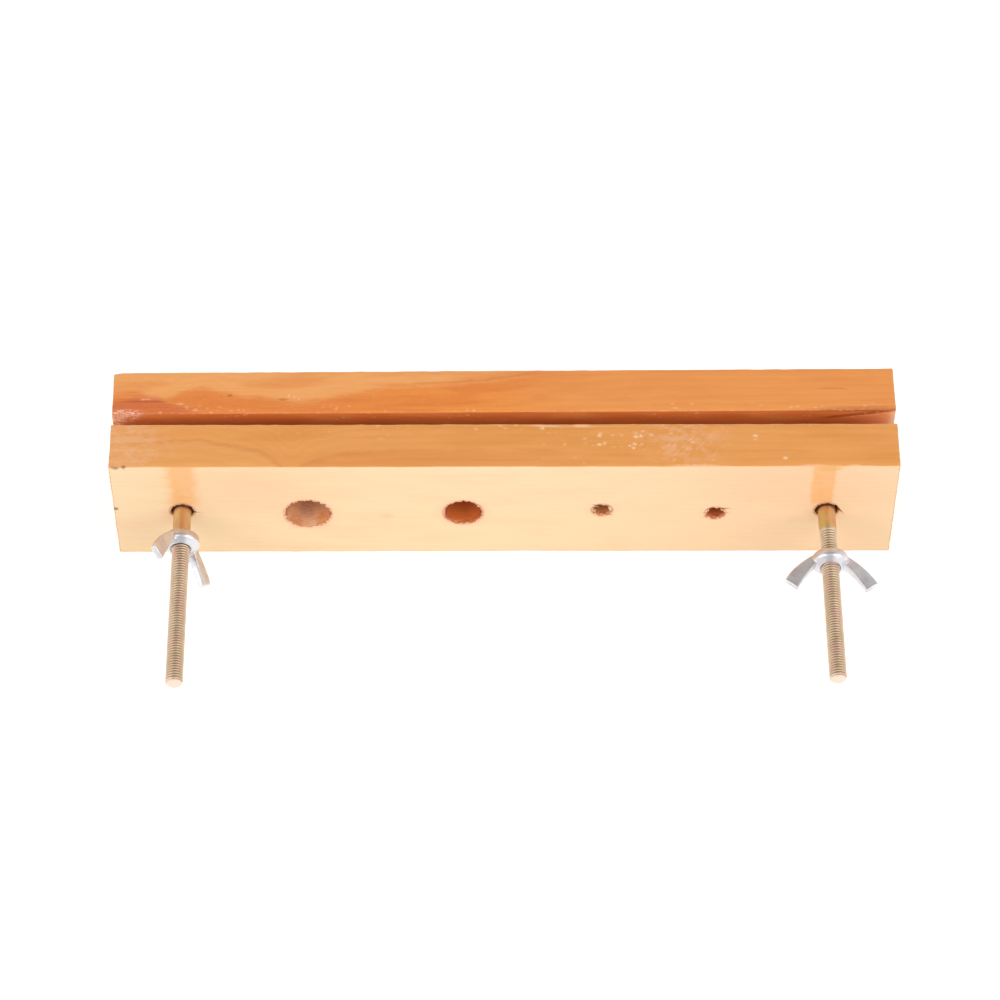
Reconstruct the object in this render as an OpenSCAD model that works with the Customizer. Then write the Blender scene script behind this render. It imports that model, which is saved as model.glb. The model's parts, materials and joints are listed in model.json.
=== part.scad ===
// Small wooden book press: two bars of pine, drawn together by two bolts and wing nuts.
// +X runs along the rear jaw, -Y is the side of the wing nuts, and +Z is up.
// The origin is the middle of the rear jaw's foot, on the bench.
// The front jaw is loose on the bolts and stands a little askew, wider open on the right.
// Sizes are in millimetres and angles in degrees.

/* [Jaws] */
// Length of both jaws
jaw_len = 265; // [250:1:330]
// Height of both jaws, which stand on their long edges
jaw_h = 50; // [46:1:70]
// Thickness of each jaw
jaw_t = 18; // [14:0.5:24]
// Space between the jaws at their middle, as the press stands
opening = 4.75; // [4.2:0.05:9]
// How far the loose front jaw stands askew, nearer the rear jaw at its left end
front_skew = 0.3; // [0:0.05:0.6]
// Width of the eased long edges
arris = 0.5; // [0.2:0.1:1.5]

/* [Dowel holes] */
// Diameter of the large hole through the front jaw
large_hole_d = 15.8; // [12:0.1:20]
// Place of the large hole along the jaw
large_hole_x = -66.7; // [-76:0.1:-50]
// Height of the large hole above the bench
large_hole_z = 22.7; // [16:0.1:30]
// Diameter of the medium hole through the front jaw
medium_hole_d = 13; // [9:0.1:18]
// Place of the medium hole along the jaw
medium_hole_x = -14; // [-24:0.1:2]
// Height of the medium hole above the bench
medium_hole_z = 23.4; // [16:0.1:30]
// Diameter of the two small holes through the front jaw
small_hole_d = 6.4; // [4:0.1:10]
// Place of the first small hole along the jaw
first_small_x = 33.1; // [24:0.1:44]
// Height of the first small hole above the bench
first_small_z = 24.7; // [16:0.1:30]
// Place of the second small hole along the jaw
second_small_x = 71.5; // [60:0.1:84]
// Height of the second small hole above the bench
second_small_z = 22.9; // [16:0.1:30]

/* [Bolts] */
// Diameter of the bolts
bolt_d = 6; // [5:0.1:7]
// Length of a bolt below its head
bolt_len = 110; // [104:1:140]
// Length of the threaded end
thread_len = 60; // [40:0.5:66]
// How much smaller the thread is than the plain shank, across the diameter
thread_relief = 0.1; // [0.04:0.02:0.3]
// Chamfer at the free end
tip_chamfer = 0.8; // [0.3:0.1:1.2]
// Distance from the ends of the rear jaw to the middle of the bolts
bolt_inset = 23.35; // [20:0.05:30]
// Height of the bolts above the bench
bolt_z = 24.5; // [20:0.1:32]
// Diameter of the domed head
head_d = 16; // [12:0.1:20]
// Height of the domed head
head_h = 3.6; // [2.4:0.1:5]
// Thickness of the head's rim
rim_h = 0.7; // [0.3:0.1:1.2]
// Length of the square neck under the head
neck_len = 4; // [2:0.1:8]

/* [Wing nuts] */
// Largest diameter of a boss, near its seat
boss_d = 12.6; // [11.6:0.1:14]
// Diameter of a boss at its shoulder
boss_top_d = 11.5; // [10.2:0.1:12.6]
// Height of a boss
boss_h = 4.6; // [4:0.1:6]
// Rounding of a boss's seat edge
boss_seat_round = 1.3; // [0.8:0.1:1.6]
// Rounding of a boss's shoulder
boss_top_round = 0.85; // [0.5:0.05:1.2]
// Distance across the tips of the wings
wing_span = 31.6; // [28:0.1:38]
// Height of the wings above the seat
wing_h = 13.7; // [12:0.1:17]
// Width of a squared wing tip
tip_w = 4.8; // [3.5:0.1:6]
// Slope of the wings, above the plane of the seat
wing_slope = 53; // [45:1:62]
// Thickness of a wing at its tip
tip_t = 1.9; // [1.4:0.1:2.6]
// Thickness of a wing at its root
root_t = 4.6; // [3:0.1:6]
// How far a wing's back edge bows out
back_bow = 1.1; // [0.2:0.1:1.8]
// How far a wing's front edge dips in
front_dip = 0.4; // [0:0.1:1]
// Gap from the front jaw to the left nut's seat
left_nut_gap = 11; // [10.6:0.1:40]
// Gap from the front jaw to the right nut's seat
right_nut_gap = 19.3; // [10.6:0.1:40]
// Turn of the left nut about its bolt
left_nut_turn = -55; // [-90:1:90]
// How far the left nut's upper wing has been bent inwards
left_wing_bend = 8; // [0:1:10]
// Turn of the right nut about its bolt
right_nut_turn = -5; // [-90:1:90]

/* [Fits] */
// Play of the front jaw round a bolt, on the radius
jaw_play = 0.95; // [0.3:0.05:0.95]
// Play of a bolt's shank in the rear jaw, on the radius
shank_play = 0.1; // [0.05:0.05:0.4]
// Play of the square neck in its pocket, on each side
neck_play = 0.03; // [0.02:0.01:0.1]
// Play of a wing nut on a bolt, on the radius
nut_play = 0.05; // [0.02:0.01:0.09]

/* [Hidden] */
$fn = 96;
// Overlap that lets a cutter run past the face it cuts
over = 1;
rear_y = 0;
front_y = rear_y - jaw_t - opening;
head_seat_y = rear_y + jaw_t / 2;
plain_len = bolt_len - thread_len;
right_x = jaw_len / 2 - bolt_inset;
left_x = -right_x;
// Steps in each rounded corner of a boss
corner_steps = 8;
// Counts of rings along a wing and of points round it, and the squareness of its section
wing_rings = 9;
ring_points = 20;
section_power = 4;
// How far a wing's root starts inside the boss, and how far it stays within the boss's ends
root_sink = 1.2;
root_inset = 0.25;
// How far the last ring draws in, to ease the edge of the tip
tip_ease = 0.3;

// Where the front jaw's outer face stands at a given place along the press.
function front_face_at(x) = front_y - jaw_t / 2 / cos(front_skew) - x * tan(front_skew);

// Turns a shape that is drawn along +Z, so that it runs out of the press along -Y.
module outward(x, y) {
    translate([x, y, bolt_z]) rotate([90, 0, 0]) children();
}

// A plain bar with eased long edges, centred on X and Y, with its foot at z = 0.
module bar() {
    rotate([90, 0, 90])
        linear_extrude(height = jaw_len, center = true)
            polygon([
                [arris - jaw_t / 2, 0], [jaw_t / 2 - arris, 0],
                [jaw_t / 2, arris], [jaw_t / 2, jaw_h - arris],
                [jaw_t / 2 - arris, jaw_h], [arris - jaw_t / 2, jaw_h],
                [-jaw_t / 2, jaw_h - arris], [-jaw_t / 2, arris]
            ]);
}

// A round hole through a bar that is centred on y = 0.
module hole(x, z, d) {
    translate([x, 0, z]) rotate([90, 0, 0])
        cylinder(h = jaw_t + 2 * over, d = d, center = true);
}

// The rear jaw, with a square pocket in its back for the neck of each bolt.
module rear_jaw() {
    pocket_w = bolt_d + 2 * neck_play;
    color("#dc8f4e")
        translate([0, rear_y, 0])
            difference() {
                bar();
                for (x = [left_x, right_x]) {
                    hole(x, bolt_z, bolt_d + 2 * shank_play);
                    translate([x, jaw_t / 2 - neck_len / 2 + over / 2, bolt_z])
                        cube([pocket_w, neck_len + over, pocket_w], center = true);
                }
            }
}

// The front jaw, loose on the bolts, with its row of four dowel holes.
module front_jaw() {
    color("#f2cf96")
        translate([0, front_y, 0]) rotate([0, 0, -front_skew])
            difference() {
                bar();
                for (x = [left_x, right_x])
                    hole(x, bolt_z, bolt_d + 2 * jaw_play);
                hole(large_hole_x, large_hole_z, large_hole_d);
                hole(medium_hole_x, medium_hole_z, medium_hole_d);
                hole(first_small_x, first_small_z, small_hole_d);
                hole(second_small_x, second_small_z, small_hole_d);
            }
}

// A dome of the given rim diameter and height, over a short straight rim.
module domed_head() {
    dome_h = head_h - rim_h;
    dome_r = (pow(head_d / 2, 2) + pow(dome_h, 2)) / (2 * dome_h);
    rotate_extrude()
        union() {
            square([head_d / 2, rim_h]);
            intersection() {
                translate([0, head_h - dome_r]) circle(r = dome_r);
                translate([0, rim_h - 0.01]) square([head_d / 2, dome_h + 0.01]);
            }
        }
}

// A carriage bolt: domed head, square neck, plain shank and threaded end.
module bolt(x) {
    thread_d = bolt_d - thread_relief;
    color("#b9a06a")
        outward(x, head_seat_y) {
            rotate([180, 0, 0]) domed_head();
            translate([-bolt_d / 2, -bolt_d / 2, 0]) cube([bolt_d, bolt_d, neck_len]);
            cylinder(h = plain_len, d = bolt_d);
            cylinder(h = bolt_len - tip_chamfer, d = thread_d);
            translate([0, 0, bolt_len - tip_chamfer])
                cylinder(h = tip_chamfer, d1 = thread_d, d2 = thread_d - 2 * tip_chamfer);
        }
}

// The four corners of a wing's outline, as distance from the axis and height above the seat.
back_root = [(boss_d - boss_seat_round) / 2, root_inset];
front_root = [(boss_top_d - boss_top_round) / 2, boss_h - root_inset];
back_tip = [wing_span / 2, wing_h - tip_w * cos(wing_slope)];
front_tip = [wing_span / 2 - tip_w * sin(wing_slope), wing_h];

// A point at share s of the way from a to b, on a shallow curve that bows to the right of a-b.
function bowed(a, b, bow, s) =
    let (along = b - a, side = [along[1], -along[0]] / norm(along))
    a + along * s + side * (4 * bow * s * (1 - s));

// One ring of a wing: a rounded oblong from the back edge to the front edge.
function ring(back, front, t) = [
    for (i = [0:ring_points - 1])
        let (
            a = 360 * i / ring_points,
            c = sign(cos(a)) * pow(abs(cos(a)), 2 / section_power),
            s = sign(sin(a)) * pow(abs(sin(a)), 2 / section_power),
            p = (front + back) / 2 + c * (front - back) / 2
        )
        [p[0], s * t / 2, p[1]]
];

// A corner of a wing's tip, carried round with the wing when it is bent about the middle of its root.
function bent(p, bend) =
    let (pivot = (back_root + front_root) / 2, v = p - pivot)
    pivot + [v[0] * cos(bend) - v[1] * sin(bend), v[0] * sin(bend) + v[1] * cos(bend)];

// Thickness of a wing at share s of its length: it falls quickly near the root.
function wing_t(s) = tip_t + (root_t - tip_t) * pow(1 - s, 2.5);

// All rings: one inside the boss, then root to tip, then one that eases the tip's edge.
function wing_ring_list(bend) =
    let (
        sunk = [root_sink, 0],
        back = bent(back_tip, bend),
        front = bent(front_tip, bend),
        ease = tip_ease * (front - back) / norm(front - back),
        last = 1 - tip_ease / norm(back - back_root)
    )
    concat(
        [ring(back_root - sunk, front_root - sunk, root_t)],
        [
            for (i = [0:wing_rings - 1])
                let (s = last * i / (wing_rings - 1))
                ring(
                    bowed(back_root, back, back_bow, s),
                    bowed(front_root, front, front_dip, s),
                    wing_t(s)
                )
        ],
        [ring(back + ease, front - ease, tip_t - tip_ease)]
    );

// One wing, lofted through its rings.
module wing(bend) {
    rings = wing_ring_list(bend);
    n = ring_points;
    last = len(rings) - 1;
    sides = [
        for (r = [0:last - 1], i = [0:n - 1])
            let (j = (i + 1) % n)
            each [
                [r * n + i, r * n + j, (r + 1) * n + j],
                [r * n + i, (r + 1) * n + j, (r + 1) * n + i]
            ]
    ];
    root_cap = [for (i = [1:n - 2]) [0, i + 1, i]];
    tip_cap = [for (i = [1:n - 2]) [last * n, last * n + i, last * n + i + 1]];
    polyhedron(points = [for (r = rings) each r], faces = concat(sides, root_cap, tip_cap));
}

// A quarter of a circle in a boss's outline, from a given angle on.
function corner(centre, r, start) = [
    for (i = [0:corner_steps])
        let (a = start + 90 * i / corner_steps)
        centre + r * [cos(a), sin(a)]
];

// The boss: rounded at its seat, widest just above it, and rounded again at its shoulder.
module boss() {
    seat_corner = [boss_d / 2 - boss_seat_round, boss_seat_round];
    top_corner = [boss_top_d / 2 - boss_top_round, boss_h - boss_top_round];
    rotate_extrude()
        polygon(concat(
            [[0, 0]],
            corner(seat_corner, boss_seat_round, -90),
            corner(top_corner, boss_top_round, 0),
            [[0, boss_h]]
        ));
}

// A wing nut of the square-winged form, seated at z = 0, with its wings along X.
// The wing on the side of -X may be bent.
module wing_nut(bend = 0) {
    bore_d = bolt_d + 2 * nut_play;
    difference() {
        union() {
            boss();
            wing(0);
            rotate([0, 0, 180]) wing(bend);
        }
        translate([0, 0, -over]) cylinder(h = wing_h + 2 * over, d = bore_d);
    }
}

module placed_nut(x, gap, turn, bend = 0) {
    color("#c9cdd2")
        outward(x, front_face_at(x) - gap)
            rotate([0, 0, turn]) wing_nut(bend);
}

module left_bolt() { bolt(left_x); }
module right_bolt() { bolt(right_x); }
module left_wing_nut() { placed_nut(left_x, left_nut_gap, left_nut_turn, left_wing_bend); }
module right_wing_nut() { placed_nut(right_x, right_nut_gap, right_nut_turn); }

rear_jaw();
front_jaw();
left_bolt();
right_bolt();
left_wing_nut();
right_wing_nut();
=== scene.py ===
# A small wooden book press: two pine jaws, two carriage bolts and two square-winged nuts.
import json
import math
from contextlib import contextmanager

import bmesh
import bpy
from mathutils import Matrix, Vector


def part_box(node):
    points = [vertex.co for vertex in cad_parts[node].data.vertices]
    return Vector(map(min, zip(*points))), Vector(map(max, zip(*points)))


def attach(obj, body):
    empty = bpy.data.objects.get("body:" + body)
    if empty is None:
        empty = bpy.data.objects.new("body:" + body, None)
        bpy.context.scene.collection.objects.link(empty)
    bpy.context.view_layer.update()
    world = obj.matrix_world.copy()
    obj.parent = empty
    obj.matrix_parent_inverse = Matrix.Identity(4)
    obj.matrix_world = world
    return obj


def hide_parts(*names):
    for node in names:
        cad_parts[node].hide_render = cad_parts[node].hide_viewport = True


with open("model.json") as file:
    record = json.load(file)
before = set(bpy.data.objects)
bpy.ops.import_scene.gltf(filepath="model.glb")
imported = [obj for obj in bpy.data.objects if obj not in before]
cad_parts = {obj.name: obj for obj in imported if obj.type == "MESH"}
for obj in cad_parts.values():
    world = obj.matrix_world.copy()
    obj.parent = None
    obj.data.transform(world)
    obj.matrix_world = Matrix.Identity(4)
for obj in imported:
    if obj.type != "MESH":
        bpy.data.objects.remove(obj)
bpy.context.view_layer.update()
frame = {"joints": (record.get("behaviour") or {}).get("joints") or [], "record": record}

# Every size is in millimetres until a piece is finished. A finished piece is in metres.
MM = 0.001

# What the frame says: the jaws, the bolts' axes, the nuts' seats and the holes.
mounts = {mount["name"]: mount for mount in frame["record"]["mounts"]}
joints = {joint["name"]: joint for joint in frame["joints"]}
rear_low, rear_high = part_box("rear_jaw")
JAW_LEN = (rear_high.x - rear_low.x) / MM
JAW_T = (rear_high.y - rear_low.y) / MM
JAW_H = (rear_high.z - rear_low.z) / MM
FRONT_Y = mounts["front_foot"]["pos_m"][1] / MM
FRONT_SKEW = math.radians(0.3)
LEFT_SEAT = Vector(joints["left_nut_spin"]["pos_m"]) / MM
RIGHT_SEAT = Vector(joints["right_nut_spin"]["pos_m"]) / MM
LEFT_X, RIGHT_X, BOLT_Z = LEFT_SEAT.x, RIGHT_SEAT.x, LEFT_SEAT.z
HEAD_SEAT = rear_high.y / MM
BOLT_LEN = HEAD_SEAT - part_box("left_bolt")[0].y / MM
HEAD_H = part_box("left_bolt")[1].y / MM - HEAD_SEAT
HEAD_R = (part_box("left_bolt")[1].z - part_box("left_bolt")[0].z) / 2 / MM

# Jaws
ARRIS = 0.55
SQUARE = 1.6
WEAR = 0.35
BOLT_HOLE_R = 3.95

# Bolts, M6 with rolled thread
SHANK_R = 3.0
CREST_R = 2.95
ROOT_R = 2.41
PITCH = 1.0
PLAIN_LEN = 50.0
RUN_OUT = 1.8
TIP_CHAMFER = 0.8
NECK_LEN = 4.0
NECK_W = 6.0
POCKET_W = 6.1
REAR_HOLE_R = SHANK_R + 0.15
THREAD_STEPS = 40
NUT_THREAD_PLAY = 0.06

# Wing nuts
BOSS_R = 6.3
BOSS_H = 4.9
WING_REACH = 15.8
WING_H = 13.7
TIP_W = 5.2
WING_SLOPE = math.radians(53)
ROOT_T = 4.4
TIP_T = 1.9
BACK_BOW = 1.1
FRONT_DIP = 0.4
CAST_EDGE = 0.34
CAST_GRAIN = 0.2
SINK_R = 3.3
SINK_DEPTH = 2.0
LEFT_NUT_TURN = math.radians(-55)
LEFT_WING_BEND = math.radians(8)
RIGHT_NUT_TURN = math.radians(-5)

# Studio: light on the object, brightness overhead to the eye, the floor's own glow and the lamps
AMBIENT = 0.68
OVERHEAD = 0.42
FLOOR_GLOW = 0.45
LAMP_AIM = (0, -0.03, 0.02)
LAMP_SIZE = 1.3
LAMP_POWER = 8.8


# Modelling helpers

def only(piece):
    """Makes one piece the only one that is selected and active."""
    bpy.ops.object.select_all(action="DESELECT")
    piece.select_set(True)
    bpy.context.view_layer.objects.active = piece


@contextmanager
def editing(piece, parts="VERT"):
    """Edit mode on one piece, for its verts, edges or faces."""
    only(piece)
    bpy.ops.object.mode_set(mode="EDIT")
    bpy.ops.mesh.select_mode(type=parts)
    bpy.ops.mesh.select_all(action="SELECT")
    yield
    bpy.ops.object.mode_set(mode="OBJECT")


def pick(piece, parts, rule):
    """In edit mode, selects the verts, edges or faces that a rule says yes to."""
    bpy.ops.mesh.select_all(action="DESELECT")
    mesh = bmesh.from_edit_mesh(piece.data)
    for part in getattr(mesh, parts):
        if rule(part):
            part.select_set(True)
    mesh.select_flush_mode()
    bmesh.update_edit_mesh(piece.data)


def along(axis, least):
    """A rule for edges that run along an axis and are at least so long."""
    def rule(edge):
        way = edge.verts[1].co - edge.verts[0].co
        return way.length > least and abs(way[axis]) > 0.999 * way.length
    return rule


def apply_all(piece):
    """Applies every modifier of a piece, in order."""
    only(piece)
    for name in [modifier.name for modifier in piece.modifiers]:
        bpy.ops.object.modifier_apply(modifier=name)


def fix_place(piece):
    """Puts a piece's place, turn and scale into its mesh."""
    only(piece)
    bpy.ops.object.transform_apply(location=True, rotation=True, scale=True)


def block(centre, size):
    """A solid block."""
    bpy.ops.mesh.primitive_cube_add(size=1, location=centre, scale=size)
    cube = bpy.context.object
    fix_place(cube)
    return cube


def move_to(piece, matrix):
    """Moves a piece by a matrix, into its mesh."""
    piece.matrix_world = matrix @ piece.matrix_world
    fix_place(piece)
    return piece


def copy_of(piece):
    """A copy with its own mesh."""
    twin = piece.copy()
    twin.data = piece.data.copy()
    bpy.context.scene.collection.objects.link(twin)
    return twin


def cloud_noise(size):
    """A soft noise for displacement, with lumps of the given size."""
    texture = bpy.data.textures.new("lumps", "CLOUDS")
    texture.noise_scale = size
    texture.noise_depth = 2
    return texture


def roughen(piece, size, amount, middle=0.5, group=""):
    """Pushes a piece's surface in and out by a soft noise."""
    push = piece.modifiers.new("Roughen", "DISPLACE")
    push.texture = cloud_noise(size)
    push.texture_coords = "GLOBAL"
    push.strength = amount
    push.mid_level = middle
    push.vertex_group = group
    apply_all(piece)


def joinery(piece, tool, operation, crossing=False):
    """Cuts a tool from a piece, adds it, or keeps what they share. Its own parts may be crossing."""
    cut = piece.modifiers.new("Joinery", "BOOLEAN")
    cut.operation = operation
    cut.object = tool
    cut.solver = "EXACT"
    cut.use_self = crossing
    cut.material_mode = "TRANSFER"
    if piece.data.materials and not tool.data.materials:
        tool.data.materials.append(piece.data.materials[0])
    apply_all(piece)
    bpy.data.objects.remove(tool)


def together(tools):
    """Several tools as one object."""
    tools = list(tools)
    only(tools[0])
    for tool in tools:
        tool.select_set(True)
    bpy.ops.object.join()
    return tools[0]


def tidy_mesh(piece, gap=0.001):
    """Merges doubles and turns all faces outwards."""
    with editing(piece):
        bpy.ops.mesh.remove_doubles(threshold=gap)
        bpy.ops.mesh.normals_make_consistent(inside=False)


def outline_of(points):
    """An open line through (x, z) points, as a new object in the XZ plane."""
    bpy.ops.mesh.primitive_plane_add(size=1)
    line = bpy.context.object
    with editing(line):
        bpy.ops.mesh.merge(type="CENTER")
        here = Vector((0, 0, 0))
        there = Vector((points[0][0], 0, points[0][1]))
        bpy.ops.transform.translate(value=there - here)
        for x, z in points[1:]:
            here = there
            there = Vector((x, 0, z))
            bpy.ops.mesh.extrude_vertices_move(TRANSFORM_OT_translate={"value": there - here})
    return line


def turned(points):
    """A solid turned round the Z axis from (radius, height) points that start and end on the axis."""
    shape = outline_of(points)
    with editing(shape):
        bpy.ops.mesh.spin(steps=64, angle=2 * math.pi, center=(0, 0, 0), axis=(0, 0, 1))
    tidy_mesh(shape)
    return shape


def arc(centre, radius, start, end, count):
    """Points on an arc, as (x, z), from one angle to another in degrees."""
    turns = [math.radians(start + (end - start) * i / count) for i in range(count + 1)]
    return [(centre[0] + radius * math.cos(a), centre[1] + radius * math.sin(a)) for a in turns]


def finish_piece(piece, name, body, node):
    """Names a piece, brings it to metres, smooths it and ties it to its body."""
    piece.scale = (MM, MM, MM)
    fix_place(piece)
    piece.name = name
    piece.data.name = name
    only(piece)
    bpy.ops.object.shade_smooth_by_angle(angle=math.radians(35))
    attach(piece, body)
    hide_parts(node)
    return piece


def dress(piece, material):
    """Gives a piece its material."""
    piece.data.materials.clear()
    piece.data.materials.append(material)
    return piece


def outward(x, y):
    """Turns a shape that is made along +Z, so that it runs out of the press along -Y."""
    return Matrix.Translation((x, y, BOLT_Z)) @ Matrix.Rotation(math.pi / 2, 4, "X")


# Jaws

def planed_bar():
    """A bar centred on X and Y with its foot at z = 0, eased all round, its faces in small squares."""
    bar = block((0, 0, JAW_H / 2), (JAW_LEN, JAW_T, JAW_H))
    with editing(bar, "EDGE"):
        bpy.ops.mesh.bevel(offset=ARRIS, segments=3, affect="EDGES")
        for axis, length in enumerate((JAW_LEN, JAW_T, JAW_H)):
            pick(bar, "edges", along(axis, 4 * ARRIS))
            bpy.ops.mesh.subdivide(number_cuts=round(length / SQUARE) - 1)
    return bar


def wear_arrises(bar, amount):
    """Rubs the long arrises and the ends unevenly, and planes the faces a little untrue."""
    group = bar.vertex_groups.new(name="arrises")
    near = 1.1
    for vert in bar.data.vertices:
        across = JAW_T / 2 - abs(vert.co.y)
        down = min(vert.co.z, JAW_H - vert.co.z)
        end = JAW_LEN / 2 - abs(vert.co.x)
        if sorted((across, down, end))[1] < near:
            group.add([vert.index], 1.0, "REPLACE")
    roughen(bar, 5.0, amount, middle=0.9, group="arrises")
    roughen(bar, 45.0, 0.14, middle=1.0)


def ragged_drill(radius, ragged):
    """A cutter along Y for a drilled hole, rough along its wall and ragged at the front face."""
    deep = JAW_T + 4
    rings = 36
    mouth_depth = 1.8
    bpy.ops.mesh.primitive_cylinder_add(
        vertices=round(14 * radius), radius=radius, depth=deep,
        rotation=(math.pi / 2, 0, 0), end_fill_type="NGON")
    drill = bpy.context.object
    fix_place(drill)
    with editing(drill, "EDGE"):
        pick(drill, "edges", along(1, deep / 2))
        bpy.ops.mesh.subdivide(number_cuts=rings)
    mouth = drill.vertex_groups.new(name="mouth")
    for vert in drill.data.vertices:
        depth = vert.co.y + JAW_T / 2
        mouth.add([vert.index], max(0.0, 1 - abs(depth) / mouth_depth), "REPLACE")
    roughen(drill, 1.4, 0.3)
    roughen(drill, 0.75, ragged, group="mouth")
    return drill


def spike(start, end, wide, high):
    """A pointed sliver, widest at its start, for torn fibres and the grooves they leave."""
    way = Vector(end) - Vector(start)
    bpy.ops.mesh.primitive_cone_add(vertices=10, radius1=0.5, radius2=0.0, depth=1.0, end_fill_type="NGON")
    sliver = bpy.context.object
    with editing(sliver):
        bpy.ops.transform.translate(value=(0, 0, 0.5))
        bpy.ops.transform.resize(value=(wide, high, way.length), center_override=(0, 0, 0))
    turn = way.to_track_quat("Z", "Y").to_matrix().to_4x4()
    return move_to(sliver, Matrix.Translation(start) @ turn)


def chip(place, size, turn=(0, 0, 0)):
    """A rough lump that breaks a chip out of an edge or a corner."""
    bpy.ops.mesh.primitive_ico_sphere_add(
        subdivisions=3, radius=0.5, location=place, rotation=turn, scale=size)
    lump = bpy.context.object
    fix_place(lump)
    roughen(lump, 0.8, 0.25 * min(size))
    return lump


def rear_bar(pine):
    """The rear jaw: pierced for the bolts, with the bruised corner and the splits that age gave it."""
    bar = dress(planed_bar(), pine)
    wear_arrises(bar, WEAR)
    top = JAW_H
    face = -JAW_T / 2
    for x in (LEFT_X, RIGHT_X):
        drill = ragged_drill(REAR_HOLE_R, 0.2)
        joinery(bar, move_to(drill, Matrix.Translation((x, 0, BOLT_Z))), "DIFFERENCE")
        pocket = block((x, -face, BOLT_Z), (POCKET_W, 2 * NECK_LEN, POCKET_W))
        joinery(bar, pocket, "DIFFERENCE")
    for tool in rear_bruises(top, face):
        joinery(bar, tool, "DIFFERENCE")
    return bar


def rear_bruises(top, face):
    """Cutters for the chipped back corner, the crushed front corner, the pits and the splits."""
    end = JAW_LEN / 2
    yield chip((-end - 1.0, -face + 0.2, top + 0.1), (13, 3.0, 2.6), (0, 0, 0.12))
    yield chip((-end + 2.0, face - 0.1, top + 0.2), (7.0, 1.9, 2.0))
    yield chip((-end - 0.2, face - 0.2, top - 1.6), (2.4, 2.0, 4.5))
    yield chip((-92.6, -1.1, top + 0.1), (1.1, 0.7, 1.0))
    yield chip((-75.0, -3.0, top + 0.1), (2.2, 0.6, 0.9))
    yield spike((-130.5, -3.9, top + 0.1), (-112, -3.5, top + 0.05), 0.8, 0.45)
    yield spike((end + 1, -7.6, top), (109, -7.75, top), 0.7, 0.35)
    yield spike((116, 0.3, top), (106, 0.35, top), 0.5, 0.25)
    yield spike((end + 1, face, top - 2.0), (106, face, top - 5.0), 0.9, 0.6)
    yield chip((17.4, -face, top + 0.1), (2.2, 1.0, 0.8))
    yield chip((60.0, face, top + 0.1), (5.0, 0.7, 0.8))


def front_bar(pine, torn):
    """The front jaw, set askew in its place: six holes with torn mouths, nicks and lifted fibres."""
    bar = dress(planed_bar(), pine)
    wear_arrises(bar, WEAR)
    joinery(bar, together([*front_drills(), *front_tears()]), "DIFFERENCE", crossing=True)
    for fibre in front_fibres():
        joinery(bar, dress(fibre, torn), "UNION")
    skew = Matrix.Translation((0, FRONT_Y, 0)) @ Matrix.Rotation(-FRONT_SKEW, 4, "Z")
    return move_to(bar, skew)


def front_drills():
    """Cutters for the two bolt holes and the row of four dowel holes."""
    for x in (LEFT_X, RIGHT_X):
        yield move_to(ragged_drill(BOLT_HOLE_R, 1.8), Matrix.Translation((x, 0, BOLT_Z)))
    for name in ("large", "medium", "first_small", "second_small"):
        place, radius = dowel_hole(name)
        yield move_to(ragged_drill(radius, 3.6), Matrix.Translation(place))


def dowel_hole(name):
    """The middle of a dowel hole in the front jaw's own frame, and its radius."""
    mount = mounts[name + "_dowel_hole"]
    spot = Vector(mount["pos_m"]) / MM
    along_jaw = spot.x / math.cos(FRONT_SKEW)
    return Vector((along_jaw, 0, spot.z)), mount["dims"]["r_mm"]


def front_tears():
    """Cutters for the fibres torn out beside the holes, and for the nicks along the arrises."""
    face = -JAW_T / 2
    top = JAW_H
    end = JAW_LEN / 2
    third, _ = dowel_hole("first_small")
    fourth, _ = dowel_hole("second_small")
    for hole, tears in (
        (third, ((-2.0, 1.4, -4.6, 0.9, 1.3), (-1.2, 2.4, -4.2, 3.5, 0.9), (1.2, -1.6, 4.8, -3.6, 1.3))),
        (fourth, ((-1.0, 2.2, -3.6, 1.9, 1.0), (-1.4, -1.2, -4.8, -3.1, 1.3), (0.8, 2.4, 7.0, 2.9, 1.3),
                  (1.2, -1.2, 5.6, 0.9, 1.1))),
    ):
        for x0, z0, x1, z1, high in tears:
            start = (hole.x + x0, face, hole.z + z0)
            stop = (hole.x + x1, face, hole.z + z1)
            yield spike(start, stop, 3.0, high)
    yield spike((RIGHT_X + 2.4, face, BOLT_Z + 2.4), (RIGHT_X + 6.8, face, BOLT_Z - 2.8), 3.4, 1.9)
    yield spike((LEFT_X + 3.4, face, BOLT_Z - 0.2), (LEFT_X + 8.0, face, BOLT_Z - 1.2), 2.4, 0.9)
    yield chip((-end + 2.2, face, top), (4.2, 1.2, 1.1))
    yield chip((-end + 4.9, face + 0.2, top), (2.0, 0.9, 0.8))
    yield chip((-end + 0.1, face, 26.0), (2.4, 0.9, 0.9))
    yield chip((115.0, face, top), (4.6, 0.8, 0.8))


def front_fibres():
    """Flakes left standing in the two small holes, and a sliver beside the first."""
    face = -JAW_T / 2
    third, _ = dowel_hole("first_small")
    fourth, _ = dowel_hole("second_small")
    yield chip((third.x + 3.5, face + 1.2, third.z + 0.3), (2.7, 2.0, 4.0))
    yield chip((third.x - 2.9, face + 1.3, third.z - 1.8), (1.8, 1.4, 1.0))
    yield chip((fourth.x + 2.8, face + 1.4, fourth.z + 0.5), (2.0, 1.4, 1.0))
    yield chip((fourth.x - 2.9, face + 1.2, fourth.z + 0.5), (1.8, 1.6, 2.6))
    start = (third.x - 4.0, face + 0.5, third.z + 2.3)
    yield spike(start, (third.x - 0.9, face + 0.4, third.z + 1.6), 0.9, 0.6)


# Bolts

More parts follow.
